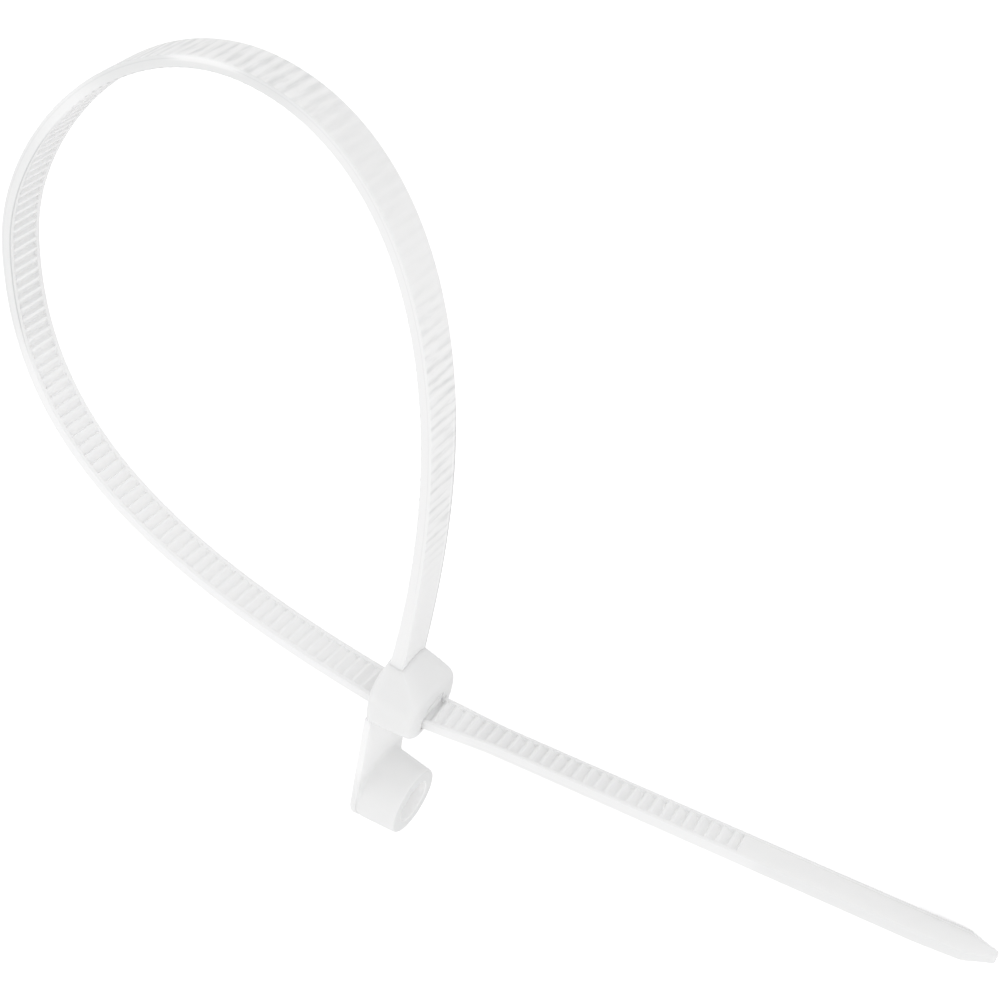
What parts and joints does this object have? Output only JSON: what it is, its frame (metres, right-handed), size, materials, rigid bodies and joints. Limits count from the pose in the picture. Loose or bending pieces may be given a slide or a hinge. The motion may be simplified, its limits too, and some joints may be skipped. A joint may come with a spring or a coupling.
{
  "type": "nylon cable tie",
  "caption": "Natural nylon cable tie with a screw eyelet under its head, closed into a loop with the toothed tail pulled through the slot",
  "frame": {"origin": "centre of the eyelet's bore, halfway through its depth", "axes": "+X along the bore, out of the eyelet's front face and the way the tail leaves; +Y from the eyelet through the head to the loop; +Z across the strap's width"},
  "size_m": [0.1295, 0.0934, 0.0146],
  "materials": {
    "nylon": "natural nylon, smooth and slightly translucent"
  },
  "bodies": {
    "root": {"cable_tie": "nylon"}
  },
  "joints": []
}
